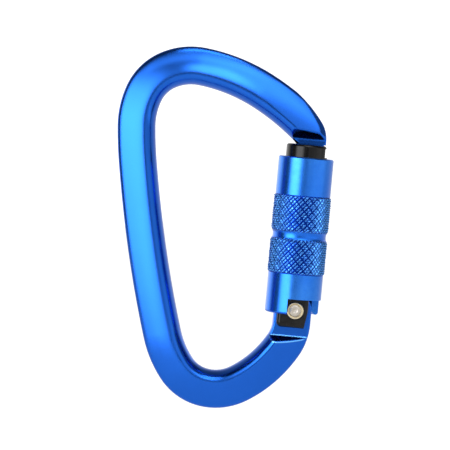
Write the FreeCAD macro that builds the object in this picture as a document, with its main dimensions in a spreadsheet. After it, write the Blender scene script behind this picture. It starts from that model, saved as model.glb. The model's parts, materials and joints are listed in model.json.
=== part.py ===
import FreeCAD, Part
import math
import os
import re
import Sketcher
from FreeCAD import Placement, Rotation, Vector

# Auto-locking carabiner, millimetres. The carabiner lies in the XZ plane and its front faces -Y.
# The origin is the rope seat at the top of the opening, and the load axis runs down -Z to the
# other seat. The gate closes the +X side. Its pieces are drawn upright in the gate's own frame,
# with the origin on the gate's axis beside the hinge, and are then tilted into place.

SIZES = (
    ("seat_span", 86.4, "between the two rope seats, along the load axis"),
    ("bar_width", 11.5, "bar in the plane of the carabiner"),
    ("rope_radius", 6.0, "round inner side of the bar"),
    ("crease_inset", 3.2, "innermost line of the bar to its thickest line"),
    ("crease_round", 1.8, "rounding of the bar along its thickest line"),
    ("crest_slope", 8.0, "slope of the bar's face beside that rounding"),
    ("rim_slope", 24.0, "slope of the bar's face at its outer side"),
    ("bar_fillet", 1.4, "outer corners of the bar"),
    ("shoulder_x", 6.0, "bar's centreline at the shoulder, right of the load axis"),
    ("shoulder_rise", 5.0, "the same, above the upper seat"),
    ("shoulder_heading", 162.0, "the same, direction of the centreline"),
    ("top_bend_x", -12.4, "centreline at the top bend"),
    ("top_bend_drop", 0.9, "the same, below the upper seat"),
    ("top_bend_heading", 238.0, "the same, direction"),
    ("spine_top_x", -16.7, "centreline at the upper end of the spine"),
    ("spine_top_drop", 20.7, "the same, below the upper seat"),
    ("spine_top_heading", 267.4, "the same, direction"),
    ("spine_foot_x", -15.6, "centreline at the lower end of the spine"),
    ("spine_foot_rise", 12.7, "the same, above the lower seat"),
    ("spine_foot_heading", 275.2, "the same, direction"),
    ("low_bend_x", -4.7, "centreline at the lower bend"),
    ("low_bend_drop", 5.1, "the same, below the lower seat"),
    ("low_bend_heading", 341.0, "the same, direction"),
    ("heel_x", 14.6, "centreline at the heel, below the gate"),
    ("heel_drop", 0.2, "the same, below the lower seat"),
    ("heel_heading", 396.6, "the same, direction"),
    ("hinge_x", 24.4, "gate's axis beside the hinge"),
    ("hinge_rise", 15.3, "the same, above the lower seat"),
    ("gate_top_x", 34.8, "gate's axis at its top face"),
    ("gate_top_drop", 22.1, "the same, below the upper seat"),
    ("pivot_offset", 0.65, "rivet outside the gate's axis, so that the plunger closes the gate"),
    ("arm_rise", 3.4, "gate's top face to the end of the bar's curved arm"),
    ("arm_offset", 1.45, "centreline there, from the gate's axis"),
    ("arm_turn", 47.3, "direction of the arm there, from the gate's axis"),
    ("nose_outer", 5.48, "nose's outer side, from the gate's axis"),
    ("nose_inner", 4.35, "nose's inner side at the gate's top face, from the gate's axis"),
    ("nose_rise", 1.43, "gate's top face up to the nose's round outer corner"),
    ("nose_round", 9.4, "round outer corner of the nose"),
    ("nose_corner", 36.4, "how far that corner turns"),
    ("nose_taper", 42.2, "long curve that thins the arm towards the nose"),
    ("nose_taper_turn", 26.6, "how far that curve turns"),
    ("nose_bevel", 45.0, "slope of the bevels along the nose's outer side"),
    ("blade_half", 2.4, "half thickness of the nose and the tang between the gate's lips and cheeks"),
    ("nose_flat", 1.7, "gate's top face to the scoop that ends the nose's flats"),
    ("scoop_slope", 41.0, "slope of the scoop, out from the nose's flats"),
    ("scoop_reach", 5.0, "how far the scoop's cut reaches out from the flats"),
    ("key_half", 3.0, "half thickness of the nose key's head"),
    ("key_inner", 3.4, "key's inner side, from the gate's axis"),
    ("key_outer", 4.9, "key's outer side, from the gate's axis"),
    ("key_shoulder", 1.3, "gate's top face to the key's head"),
    ("key_height", 1.85, "height of the key's head"),
    ("key_gap", 0.4, "room round the key's head, above and below it and at its inner side"),
    ("side_gap", 0.1, "room on each side of the tang"),
    ("lip_gap", 0.2, "room on each side of the nose"),
    ("tang_top", 4.9, "tang above the hinge, and its outer side beyond the rivet"),
    ("tang_corner", 4.2, "round outer corner of the tang's top"),
    ("tang_flat", 3.4, "flat of the tang's top, inward from the gate's axis"),
    ("tang_bevel", 2.15, "bevel from the tang's flat to its inner side"),
    ("tang_root", 4.0, "hinge down to the end of the bar's curved heel"),
    ("tang_foot", 8.0, "hinge down to the ledge that ends the tang's flats"),
    ("ledge_slope", 36.5, "slope of the ledge, down from square"),
    ("ledge_reach", 6.0, "how far the ledge's cut reaches out from the flats"),
    ("head_radius", 6.3, "gate's head"),
    ("head_height", 6.6, "gate's head"),
    ("head_round", 0.8, "gate's top edge"),
    ("neck_radius", 4.4, "gate's neck"),
    ("fork_half", 4.55, "half depth over the gate's cheeks"),
    ("fork_width", 4.6, "half width of the gate's cheeks"),
    ("fork_foot", 5.35, "hinge down to the end of the cheeks"),
    ("fork_round", 1.5, "inner lower corner of the cheeks"),
    ("fork_taper", 0.9, "how far the cheeks' outer side draws in at their foot"),
    ("fork_edge", 1.2, "upright edges of the cheeks"),
    ("fork_slot", 6.9, "hinge up to the end of the slot between the cheeks"),
    ("plunger_bore", 2.5, "radius of the bore for the plunger and its spring"),
    ("bore_end", 24.0, "hinge up to the end of that bore"),
    ("running_gap", 0.08, "radial room of the turning and sliding fits"),
    ("rivet_radius", 1.5, "rivet's shank"),
    ("rivet_gap", 0.05, "radial room of the rivet in the tang"),
    ("rivet_head", 2.6, "radius of the rivet's heads"),
    ("rivet_height", 0.85, "height of the rivet's heads"),
    ("rivet_dish", 1.85, "radius of the dish in each head"),
    ("rivet_floor", 0.35, "height of the dish's floor"),
    ("rivet_rim", 0.25, "rounding of the heads' rims"),
    ("sleeve_radius", 8.35, "sleeve's plain outside"),
    ("sleeve_bore", 6.4, "radius of the sleeve's long bore"),
    ("sleeve_top", 3.9, "gate's top face down to the sleeve's upper edge"),
    ("sleeve_foot", 1.2, "hinge down to the sleeve's lower edge"),
    ("sleeve_edge", 0.35, "sleeve's upper outer edge"),
    ("rim_round", 0.7, "round lower outer edge of the sleeve"),
    ("skirt_bevel", 1.0, "bevel inside the sleeve's lower edge"),
    ("knurl_radius", 8.75, "over the knurled bands"),
    ("knurl_bevel", 0.4, "ends of the knurled bands"),
    ("low_knurl_start", 11.3, "hinge up to the lower knurled band"),
    ("groove_start", 21.4, "hinge up to the groove between the bands"),
    ("groove_width", 2.3, "groove between the bands"),
    ("groove_radius", 8.15, "bottom of that groove"),
    ("groove_slope", 0.9, "height of each sloping side of that groove"),
    ("high_knurl_end", 34.3, "hinge up to the end of the upper band"),
    ("notch_height", 3.5, "hinge up to the notch's ceiling"),
    ("notch_left", 1.95, "notch's wall beside the rivet, inward from the gate's axis"),
    ("notch_back", 2.75, "notch's rear wall, behind the gate's axis"),
    ("shoulder_radius", 4.85, "bore of the sleeve's inner shoulder"),
    ("shoulder_height", 4.0, "sleeve's inner shoulder"),
    ("sleeve_turn", 96.0, "turn of the sleeve from locked to open"),
    ("stop_radius", 0.7, "stop pin"),
    ("stop_place", 4.8, "gate's axis to the stop pin's"),
    ("stop_length", 3.8, "stop pin"),
    ("stop_grip", 2.3, "stop pin's length in the gate's head"),
    ("stop_room", 0.12, "room round the stop pin"),
    ("ring_wire", 0.8, "height of the retaining ring"),
    ("ring_depth", 0.4, "depth of its groove in the neck"),
    ("ring_radius", 5.5, "outside of the retaining ring"),
    ("ring_turn", 300.0, "how far the open ring goes round"),
    ("ring_rise", 0.6, "end of the fork's slot up to the ring's groove"),
    ("bush_height", 2.6, "bush above the retaining ring"),
    ("coil_wire", 1.1, "wire of the sleeve's spring"),
    ("coil_turns", 12, "turns of the sleeve's spring"),
    ("coil_leg", 1.5, "straight ends of the sleeve's spring"),
    ("plunger_tip", 1.5, "radius of the plunger's tip"),
    ("plunger_round", 1.2, "rounding of the plunger's tip"),
    ("plunger_reach", 2.8, "plunger's tip below its guide"),
    ("plunger_guide", 3.6, "length of the plunger's guide"),
    ("plunger_pilot", 1.2, "radius of the pilot inside the gate's spring"),
    ("pilot_length", 3.0, "pilot inside the gate's spring"),
    ("seat_gap", 0.03, "room between pieces that rest on each other"),
    ("gate_wire", 0.6, "wire of the gate's spring"),
    ("gate_turns", 9, "turns of the gate's spring"),
)

# Values that follow from the sizes.
DERIVED = (
    ("gate_run", "gate_top_x - hinge_x"),
    ("gate_climb", "seat_span - hinge_rise - gate_top_drop"),
    ("gate_length", "sqrt(gate_run ^ 2 + gate_climb ^ 2)"),
    ("gate_tilt", "atan2(gate_run; gate_climb)"),
    ("hinge_z", "hinge_rise - seat_span"),
    ("pivot_x", "hinge_x + pivot_offset * cos(gate_tilt)"),
    ("pivot_z", "hinge_z - pivot_offset * sin(gate_tilt)"),
    ("bar_half", "bar_width / 2"),
    ("path_top", "tang_top + seat_gap"),
    ("path_start_x", "hinge_x + path_top * sin(gate_tilt)"),
    ("path_start_z", "hinge_z + path_top * cos(gate_tilt)"),
    ("crease_x", "crease_inset - bar_half"),
    ("crease_slope", "asin((rope_radius - crease_inset) / (rope_radius - crease_round))"),
    ("inner_end_x", "crease_x - crease_round * sin(crease_slope)"),
    ("inner_end_half", "rope_radius * cos(crease_slope)"),
    ("crest_x", "crease_x + crease_round * sin(crest_slope)"),
    ("crest_half", "inner_end_half - crease_round * (cos(crease_slope) - cos(crest_slope))"),
    ("face_end_x", "bar_half - bar_fillet * (1 - sin(rim_slope))"),
    ("face_round", "(face_end_x - crest_x) / (sin(rim_slope) - sin(crest_slope))"),
    ("face_end_half", "crest_half - face_round * (cos(crest_slope) - cos(rim_slope))"),
    ("side_half", "face_end_half - bar_fillet * cos(rim_slope)"),
    ("arm_reach", "arm_rise + bar_width"),
    ("head_foot", "gate_length - head_height"),
    ("key_top", "gate_length - key_shoulder"),
    ("key_foot", "key_top - key_height"),
    ("sleeve_end", "gate_length - sleeve_top"),
    ("groove_end", "groove_start + groove_width"),
    ("shoulder_top", "head_foot - running_gap"),
    ("shoulder_foot", "shoulder_top - shoulder_height"),
    ("ring_foot", "fork_slot + ring_rise"),
    ("bush_foot", "ring_foot + ring_wire"),
    ("bush_top", "bush_foot + bush_height"),
    ("coil_radius", "(neck_radius + sleeve_bore) / 2"),
    ("coil_start", "bush_top + coil_wire / 2 + seat_gap"),
    ("coil_height", "shoulder_foot - bush_top - coil_wire - 2 * seat_gap"),
    ("plunger_start", "tang_top + seat_gap"),
    ("guide_foot", "plunger_start + plunger_reach"),
    ("guide_top", "guide_foot + plunger_guide"),
    ("gate_coil_radius", "(plunger_bore + plunger_pilot) / 2"),
    ("gate_coil_start", "guide_top + gate_wire / 2 + seat_gap"),
    ("gate_coil_height", "bore_end - guide_top - gate_wire - 2 * seat_gap"),
    ("stop_angle", "asin((stop_radius + stop_room) / stop_place)"),
)

FAR = 60.0
GATE_AXIS = Vector(0, 1, 0)


def write_sheet(doc):
    """The driving sizes, one plain number each, under a name of its own."""
    sheet = doc.addObject("Spreadsheet::Sheet", "Sizes")
    for row, (alias, value, note) in enumerate(SIZES, 1):
        sheet.set(f"A{row}", note)
        sheet.set(f"B{row}", str(value))
        sheet.setAlias(f"B{row}", alias)
    doc.recompute()
    return sheet


def write_derived(doc):
    """The values worked out from the sheet, as expressions."""
    derived = doc.addObject("App::VarSet", "Derived")
    for name, formula in DERIVED:
        derived.addProperty("App::PropertyFloat", name)
        derived.setExpression(name, bound(formula))
        doc.recompute()
    return derived


def bound(formula):
    """A formula in size names, as a FreeCAD expression."""
    homes = {name: "Derived" for name, _ in DERIVED}
    homes.update({name: "Sizes" for name, _, _ in SIZES})
    return re.sub(r"[a-z]\w*", lambda word: f"{homes[word[0]]}.{word[0]}" if word[0] in homes
                  else word[0], str(formula))


def value_of(formula):
    """The number that a formula in size names gives now."""
    result = doc.Derived.evalExpression(bound(formula))
    return float(getattr(result, "Value", result))


# ---- helpers for bodies and sketches ----

def new_body(name, tilted=True):
    """A body, upright at the origin or tilted into the gate's frame."""
    body = doc.addObject("PartDesign::Body", name)
    body.Label = name
    if tilted:
        tilt_into_place(body)
    return body


def tilt_into_place(piece):
    """Puts a piece that was drawn upright on the gate's axis."""
    piece.Placement = Placement(Vector(), Rotation(GATE_AXIS, value_of("gate_tilt")))
    piece.setExpression("Placement.Rotation.Angle", bound("gate_tilt"))
    piece.setExpression("Placement.Base.x", bound("hinge_x"))
    piece.setExpression("Placement.Base.z", bound("hinge_z"))


def new_sketch(body, name, role, shift=(0, 0, 0), turn=None, turn_axis=Vector(0, 0, 1)):
    """A sketch on one of the body's own planes, moved and turned by formulas."""
    sketch = body.newObject("Sketcher::SketchObject", name)
    plane = next(item for item in body.Origin.OriginFeatures if item.Role == role)
    sketch.AttachmentSupport = (plane, [""])
    sketch.MapMode = "FlatFace"
    if turn is not None:
        sketch.AttachmentOffset = Placement(Vector(), Rotation(turn_axis, value_of(turn)))
        sketch.setExpression("AttachmentOffset.Rotation.Angle", bound(turn))
    for axis, formula in zip("xyz", shift):
        if formula:
            sketch.setExpression(f"AttachmentOffset.Base.{axis}", bound(formula))
    return sketch


def pin_point(sketch, index, end, across, up):
    """Fixes one point of a sketch by two formulas."""
    for kind, formula in (("DistanceX", across), ("DistanceY", up)):
        row = sketch.addConstraint(Sketcher.Constraint(kind, -1, 1, index, end, value_of(formula)))
        sketch.setExpression(f"Constraints[{row}]", bound(formula))


def arc_between(start, end, radius, side):
    """The arc from start to end, shorter than half a circle. side is 1 if it bends left."""
    chord = end - start
    lift = math.sqrt(max(radius ** 2 - (chord.Length / 2) ** 2, 0.0))
    left = Vector(-chord.y, chord.x, 0).normalize()
    centre = (start + end) / 2 + left * (side * lift)
    circle = Part.Circle(centre, Vector(0, 0, 1), radius)
    first, last = (start, end) if side > 0 else (end, start)
    angles = [math.atan2(point.y - centre.y, point.x - centre.x) for point in (first, last)]
    return Part.ArcOfCircle(circle, angles[0], angles[1])


def draw_outline(sketch, corners):
    """A closed outline through corners given by formulas.

    A corner is (across, up), or (across, up, radius, side) where an arc leads to it.
    """
    points = [Vector(value_of(corner[0]), value_of(corner[1]), 0) for corner in corners]
    edges = []
    for step, corner in enumerate(corners):
        start, end = points[step - 1], points[step]
        if len(corner) == 2:
            edges.append((sketch.addGeometry(Part.LineSegment(start, end)), 1, 2))
            continue
        radius, side = corner[2:]
        index = sketch.addGeometry(arc_between(start, end, value_of(radius), side))
        row = sketch.addConstraint(Sketcher.Constraint("Radius", index, value_of(radius)))
        sketch.setExpression(f"Constraints[{row}]", bound(radius))
        edges.append((index, 1, 2) if side > 0 else (index, 2, 1))
    for step, (index, _, end) in enumerate(edges):
        following, start, _ = edges[(step + 1) % len(edges)]
        sketch.addConstraint(Sketcher.Constraint("Coincident", index, end, following, start))
        pin_point(sketch, index, end, corners[step][0], corners[step][1])


def draw_box(sketch, low, high):
    """A rectangle between two corners given by formulas."""
    draw_outline(sketch, [(low[0], low[1]), (high[0], low[1]), (high[0], high[1]), (low[0], high[1])])


def draw_circle(sketch, across, up, radius):
    """A circle whose centre and radius are formulas."""
    centre = Vector(value_of(across), value_of(up), 0)
    index = sketch.addGeometry(Part.Circle(centre, Vector(0, 0, 1), value_of(radius)))
    pin_point(sketch, index, 3, across, up)
    row = sketch.addConstraint(Sketcher.Constraint("Radius", index, value_of(radius)))
    sketch.setExpression(f"Constraints[{row}]", bound(radius))
    return index


def turned(body, name, corners, angle="360"):
    """A lathe-turned form about the body's Z axis, from (radius, height) corners."""
    sketch = new_sketch(body, f"{name}_profile", "XZ_Plane")
    draw_outline(sketch, corners)
    feature = body.newObject("PartDesign::Revolution", name)
    feature.Profile = sketch
    feature.ReferenceAxis = (sketch, ["V_Axis"])
    feature.Angle = value_of(angle)
    feature.setExpression("Angle", bound(angle))
    doc.recompute()
    return feature


def cut(body, name, sketch, length=None, both_ways=True, reverse=False, slope=None):
    """A pocket of the sketch, wider with depth if it has a slope. It must take material away."""
    before = body.Shape.Volume
    pocket = body.newObject("PartDesign::Pocket", name)
    pocket.Profile = sketch
    pocket.SideType = "Symmetric" if both_ways else "One side"
    pocket.Reversed = reverse
    if length is None:
        pocket.Length = 2 * FAR
    else:
        pocket.Length = value_of(length)
        pocket.setExpression("Length", bound(length))
    if slope is not None:
        pocket.TaperAngle = value_of(slope)
        pocket.setExpression("TaperAngle", bound(slope))
    doc.recompute()
    if not body.Shape.Volume < before - 1e-6:
        raise RuntimeError(f"{name} cuts nothing")
    return pocket


def padded(body, name, sketch, length, both_ways=True, reverse=False):
    """A pad of the sketch."""
    pad = body.newObject("PartDesign::Pad", name)
    pad.Profile = sketch
    pad.SideType = "Symmetric" if both_ways else "One side"
    pad.Reversed = reverse
    pad.Length = value_of(length)
    pad.setExpression("Length", bound(length))
    doc.recompute()
    return pad


def rounded(body, name, radius, wanted):
    """Fillets the edges of the body's tip that the test picks."""
    tip = body.Tip
    edges = [f"Edge{number}" for number, edge in enumerate(tip.Shape.Edges, 1) if wanted(edge)]
    if not edges:
        raise RuntimeError(f"{name} finds no edge")
    fillet = body.newObject("PartDesign::Fillet", name)
    fillet.Base = (tip, edges)
    fillet.Radius = value_of(radius)
    fillet.setExpression("Radius", bound(radius))
    doc.recompute()
    return fillet


def is_circle_at(edge, radius, height):
    """Whether an edge is the circle about Z with this radius, at this height."""
    curve = edge.Curve
    if not isinstance(curve, Part.Circle):
        return False
    return abs(curve.Radius - value_of(radius)) < 1e-3 and abs(curve.Center.z - value_of(height)) < 1e-3


def is_upright(edge):
    """Whether an edge is a straight line along Z."""
    if not isinstance(edge.Curve, Part.Line):
        return False
    return abs(abs(edge.Curve.Direction.z) - 1) < 1e-6


def is_fork_corner(point):
    """Whether a point lies on one of the upright corners of the gate's fork."""
    return (abs(abs(point.x) - value_of("fork_width")) < 1e-3
            and abs(abs(point.y) - value_of("fork_half")) < 1e-3)


def in_gate_frame(body, name, role, forward=0):
    """A sketch on the frame's body that lies in the gate's tilted frame."""
    if role == "XZ_Plane":
        return new_sketch(body, name, role, ("hinge_x", "hinge_z", forward), "gate_tilt",
                          Vector(0, 0, -1))
    return new_sketch(body, name, role, (0, "hinge_z", "hinge_x"), "gate_tilt", Vector(1, 0, 0))


def gate_point(across, along):
    """A point of the gate's frame, in the plane of the carabiner (x to the right, y up)."""
    tilt = math.radians(value_of("gate_tilt"))
    x = value_of("hinge_x") + across * math.cos(tilt) + along * math.sin(tilt)
    z = value_of("hinge_z") - across * math.sin(tilt) + along * math.cos(tilt)
    return Vector(x, z, 0)


# ---- frame ----

def stations():
    """Points of the bar's centreline and its direction there, from the tang to the nose."""
    tilt = value_of("gate_tilt")
    foot = -value_of("seat_span")
    return [
        (gate_point(0, -value_of("tang_root")), -90 - tilt),
        (Vector(value_of("heel_x"), foot - value_of("heel_drop"), 0), value_of("heel_heading") - 180),
        (Vector(value_of("low_bend_x"), foot - value_of("low_bend_drop"), 0),
         value_of("low_bend_heading") - 180),
        (Vector(value_of("spine_foot_x"), foot + value_of("spine_foot_rise"), 0),
         value_of("spine_foot_heading") - 180),
        (Vector(value_of("spine_top_x"), -value_of("spine_top_drop"), 0),
         value_of("spine_top_heading") - 180),
        (Vector(value_of("top_bend_x"), -value_of("top_bend_drop"), 0),
         value_of("top_bend_heading") - 180),
        (Vector(value_of("shoulder_x"), value_of("shoulder_rise"), 0),
         value_of("shoulder_heading") - 180),
        (gate_point(value_of("arm_offset"), value_of("gate_length") + value_of("arm_rise")),
         value_of("arm_turn") - 90 - tilt),
    ]


def heading_vector(heading):
    """The unit vector of a direction in degrees."""
    return Vector(math.cos(math.radians(heading)), math.sin(math.radians(heading)), 0)


def tangent_arc(start, ahead, end):
    """The arc that leaves start in the direction ahead and reaches end."""
    chord = end - start
    left = Vector(-ahead.y, ahead.x, 0)
    side = 1 if chord * left > 0 else -1
    radius = chord.Length ** 2 / (2 * abs(chord * left))
    return arc_between(start, end, radius, side)


def double_arc(start, ahead, end, onward):
    """Two arcs that meet smoothly, from start to end with a given direction at each."""
    chord = end - start
    along = chord * (ahead + onward)
    spread = 2 * (1 - ahead * onward)
    reach = (math.sqrt(along ** 2 + spread * chord.Length ** 2) - along) / spread
    meeting = (start + ahead * reach + end - onward * reach) / 2
    first = tangent_arc(start, ahead, meeting)
    last = tangent_arc(end, onward * -1, meeting)
    return first, last


def draw_bar_path(sketch):
    """The bar's centreline: a straight tang, double arcs between the stations, a straight nose."""
    points = stations()
    start, ahead = points[0][0], heading_vector(points[0][1])
    top = gate_point(0, value_of("path_top"))
    sketch.addGeometry(Part.LineSegment(top, start))
    for (here, toward), (there, onward) in zip(points, points[1:]):
        for arc in double_arc(here, heading_vector(toward), there, heading_vector(onward)):
            sketch.addGeometry(arc)
    end, toward = points[-1]
    sketch.addGeometry(Part.LineSegment(end, end + heading_vector(toward) * value_of("arm_reach")))
    for index in range(sketch.GeometryCount):
        sketch.addConstraint(Sketcher.Constraint("Block", index))


def draw_bar_section(sketch):
    """The bar's section: a round inner side, then crowned faces that draw in to the outer side."""
    draw_outline(sketch, [("inner_end_x", "0 - inner_end_half", "rope_radius", 1),
                          ("crest_x", "0 - crest_half", "crease_round", 1),
                          ("face_end_x", "0 - face_end_half", "face_round", 1),
                          ("bar_half", "0 - side_half", "bar_fillet", 1),
                          ("bar_half", "side_half"),
                          ("face_end_x", "face_end_half", "bar_fillet", 1),
                          ("crest_x", "crest_half", "face_round", 1),
                          ("inner_end_x", "inner_end_half", "crease_round", 1)])


def draw_nose_outline(sketch):
    """The region outside the nose's outer side, in the gate's frame."""
    outer = value_of("nose_outer")
    start_up = value_of("gate_length + nose_rise")
    corner, taper = value_of("nose_round"), value_of("nose_taper")
    turn = value_of("nose_corner")
    bend_centre = Vector(outer - corner, start_up, 0)
    bend_end = bend_centre + heading_vector(turn) * corner
    taper_centre = bend_end - heading_vector(turn) * taper
    taper_end = taper_centre + heading_vector(turn + value_of("nose_taper_turn")) * taper
    tail = heading_vector(turn + value_of("nose_taper_turn") + 90)
    foot = Vector(outer, value_of("key_foot") - FAR / 4, 0)
    points = [foot, Vector(outer, start_up, 0), bend_end, taper_end, taper_end + tail * (FAR / 3)]
    beyond = Vector(FAR / 2, points[-1].y, 0)
    corner_low = Vector(FAR / 2, foot.y, 0)
    sketch.addGeometry(Part.LineSegment(points[0], points[1]))
    sketch.addGeometry(arc_between(points[1], points[2], corner, 1))
    sketch.addGeometry(arc_between(points[2], points[3], taper, 1))
    sketch.addGeometry(Part.LineSegment(points[3], points[4]))
    sketch.addGeometry(Part.LineSegment(points[4], beyond))
    sketch.addGeometry(Part.LineSegment(beyond, corner_low))
    sketch.addGeometry(Part.LineSegment(corner_low, points[0]))
    for index in range(sketch.GeometryCount):
        sketch.addConstraint(Sketcher.Constraint("Block", index))


def make_bar(body):
    """Sweeps the section along the centreline."""
    path = new_sketch(body, "bar_path", "XZ_Plane")
    draw_bar_path(path)
    section = new_sketch(body, "bar_section", "XY_Plane", ("path_start_x", 0, "path_start_z"),
                         "gate_tilt", Vector(0, 1, 0))
    draw_bar_section(section)
    doc.recompute()
    sweep = body.newObject("PartDesign::AdditivePipe", "bar")
    sweep.Profile = section
    sweep.Spine = (path, [f"Edge{number}" for number in range(1, path.GeometryCount + 1)])
    sweep.Transition = "Transformed"
    doc.recompute()


def make_frame():
    """The forged bar with its hinge tang and nose key."""
    body = new_body("frame", tilted=False)
    make_bar(body)

    # flats on both sides of the tang, ended by a sloping ledge
    flats = in_gate_frame(body, "tang_flats", "YZ_Plane")
    for side in ("", "0 - "):
        slope_end = "0 - tang_foot - ledge_reach * tan(ledge_slope)"
        inner, outer = f"{side}blade_half", f"{side}(blade_half + ledge_reach)"
        draw_outline(flats, [(inner, "path_top + ledge_reach"), (inner, "0 - tang_foot"),
                             (outer, slope_end), (outer, "path_top + ledge_reach")])
    cut(body, "tang_flats_cut", flats, "4 * (bar_half + seat_gap)")

    # end the tang in a flat for the plunger, with a round outer corner and a bevelled inner one
    crown = in_gate_frame(body, "tang_crown", "XZ_Plane")
    outer = "pivot_offset + tang_top"
    draw_outline(crown, [("0 - bar_width", "tang_top - tang_bevel"),
                         ("0 - tang_flat - tang_bevel", "tang_top - tang_bevel"),
                         ("0 - tang_flat", "tang_top"), (f"{outer} - tang_corner", "tang_top"),
                         (outer, "tang_top - tang_corner", "tang_corner", -1),
                         (outer, "0"), ("bar_width", "0"),
                         ("bar_width", "path_top + bar_width"), ("0 - bar_width", "path_top + bar_width")])
    cut(body, "tang_crown_cut", crown)

    hole = in_gate_frame(body, "tang_hole", "XZ_Plane")
    draw_circle(hole, "pivot_offset", "0", "rivet_radius + rivet_gap")
    cut(body, "tang_hole_cut", hole)

    # trim the arm to the nose's outline
    outline = in_gate_frame(body, "nose_outline", "XZ_Plane")
    draw_nose_outline(outline)
    cut(body, "nose_outline_cut", outline)

    # bevel the trimmed edges: the same outline, widening from the blade's faces outward
    for name, forward, is_front in (("nose_front_bevel", "blade_half", True),
                                    ("nose_back_bevel", "0 - blade_half", False)):
        bevel = in_gate_frame(body, name, "XZ_Plane", forward)
        draw_nose_outline(bevel)
        cut(body, f"{name}_cut", bevel, "bar_half", both_ways=False, reverse=is_front,
            slope="nose_bevel")

    # end the nose at its key, and step it in above the gate
    end = in_gate_frame(body, "nose_end", "XZ_Plane")
    draw_outline(end, [("0 - bar_width", "key_foot - 2 * bar_width"),
                       ("2 * bar_width", "key_foot - 2 * bar_width"),
                       ("2 * bar_width", "gate_length + lip_gap"),
                       ("key_outer", "gate_length + lip_gap"), ("key_outer", "key_top"),
                       ("0 - bar_width", "key_top")])
    cut(body, "nose_end_cut", end)

    # flats on both sides of the nose, ended by a sloping scoop
    scoops = in_gate_frame(body, "nose_flats", "YZ_Plane")
    for side in ("", "0 - "):
        scoop_foot = "gate_length + nose_flat"
        inner, outer = f"{side}blade_half", f"{side}(blade_half + scoop_reach)"
        draw_outline(scoops, [(inner, "key_foot"), (inner, scoop_foot),
                              (outer, f"{scoop_foot} + scoop_reach / tan(scoop_slope)"),
                              (outer, "key_foot")])
    cut(body, "nose_flats_cut", scoops, "5 * bar_half")

    key = in_gate_frame(body, "nose_key", "XZ_Plane")
    draw_box(key, ("0 - key_inner", "key_foot"), ("key_outer", "key_top"))
    padded(body, "nose_key_pad", key, "2 * key_half")
    return body


# ---- gate ----

def make_gate():
    """The turned gate: slotted head, neck, and a fork that straddles the tang.

    The neck is turned down to the fork's slot only. Below that the gate is its milled cheeks, so
    the rivet's heads always seat on a flat.
    """
    body = new_body("gate")
    turned(body, "gate_turning", [("0", "fork_slot"), ("neck_radius", "fork_slot"),
                                  ("neck_radius", "head_foot"),
                                  ("head_radius", "head_foot"), ("head_radius", "gate_length"),
                                  ("0", "gate_length")])
    rounded(body, "head_rounding", "head_round",
            lambda edge: is_circle_at(edge, "head_radius", "gate_length"))

    fork = new_sketch(body, "fork", "XZ_Plane")
    draw_outline(fork, [("0 - fork_width", "fork_round - fork_foot"),
                        ("fork_round - fork_width", "0 - fork_foot", "fork_round", 1),
                        ("fork_width", "0 - fork_foot"), ("fork_width", "fork_slot + ring_rise / 2"),
                        ("0 - fork_width", "fork_slot + ring_rise / 2")])
    padded(body, "fork_pad", fork, "2 * fork_half")
    rounded(body, "fork_rounding", "fork_edge",
            lambda edge: is_upright(edge) and is_fork_corner(edge.Vertexes[0].Point))

    taper = new_sketch(body, "fork_taper", "XZ_Plane")
    draw_outline(taper, [("fork_width", "0"), ("fork_width - fork_taper", "0 - fork_foot"),
                         ("fork_width - fork_taper", "0 - 2 * fork_foot"),
                         ("2 * fork_width", "0 - 2 * fork_foot"), ("2 * fork_width", "0")])
    cut(body, "fork_taper_cut", taper)

    slot = new_sketch(body, "fork_slot", "YZ_Plane")
    draw_box(slot, ("0 - blade_half - side_gap", "0 - 2 * fork_foot"), ("blade_half + side_gap", "fork_slot"))
    cut(body, "fork_slot_cut", slot)

    bore = new_sketch(body, "plunger_bore", "XY_Plane", (0, 0, "bore_end"))
    draw_circle(bore, "0", "0", "plunger_bore")
    cut(body, "plunger_bore_cut", bore, "bore_end - fork_slot / 2", both_ways=False)

    pivot = new_sketch(body, "pivot_hole", "XZ_Plane")
    draw_circle(pivot, "pivot_offset", "0", "rivet_radius")
    cut(body, "pivot_hole_cut", pivot)

    groove = new_sketch(body, "ring_groove", "XZ_Plane")
    draw_box(groove, ("neck_radius - ring_depth", "ring_foot"), ("2 * neck_radius", "ring_foot + ring_wire"))
    turning = body.newObject("PartDesign::Groove", "ring_groove_cut")
    turning.Profile = groove
    turning.ReferenceAxis = (groove, ["V_Axis"])
    turning.Angle = 360.0
    doc.recompute()

    # the slot for the nose, open to the outer side, with a wider hollow for the key's head
    mouth = new_sketch(body, "nose_slot", "XZ_Plane")
    draw_box(mouth, ("0 - nose_inner - key_gap", "key_top"), ("2 * head_radius", "gate_length + key_height"))
    cut(body, "nose_slot_cut", mouth, "2 * (blade_half + lip_gap)")
    hollow = new_sketch(body, "key_hollow", "XZ_Plane")
    draw_box(hollow, ("0 - key_inner - key_gap", "key_foot - key_gap"),
             ("2 * head_radius", "key_top + key_gap"))
    cut(body, "key_hollow_cut", hollow, "2 * (key_half + lip_gap)")

    stop = new_sketch(body, "stop_hole", "XY_Plane", (0, 0, "head_foot + stop_grip"))
    draw_circle(stop, "0", "stop_place", "stop_radius")
    cut(body, "stop_hole_cut", stop, "stop_length", both_ways=False)
    return body


# ---- sleeve ----

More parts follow.
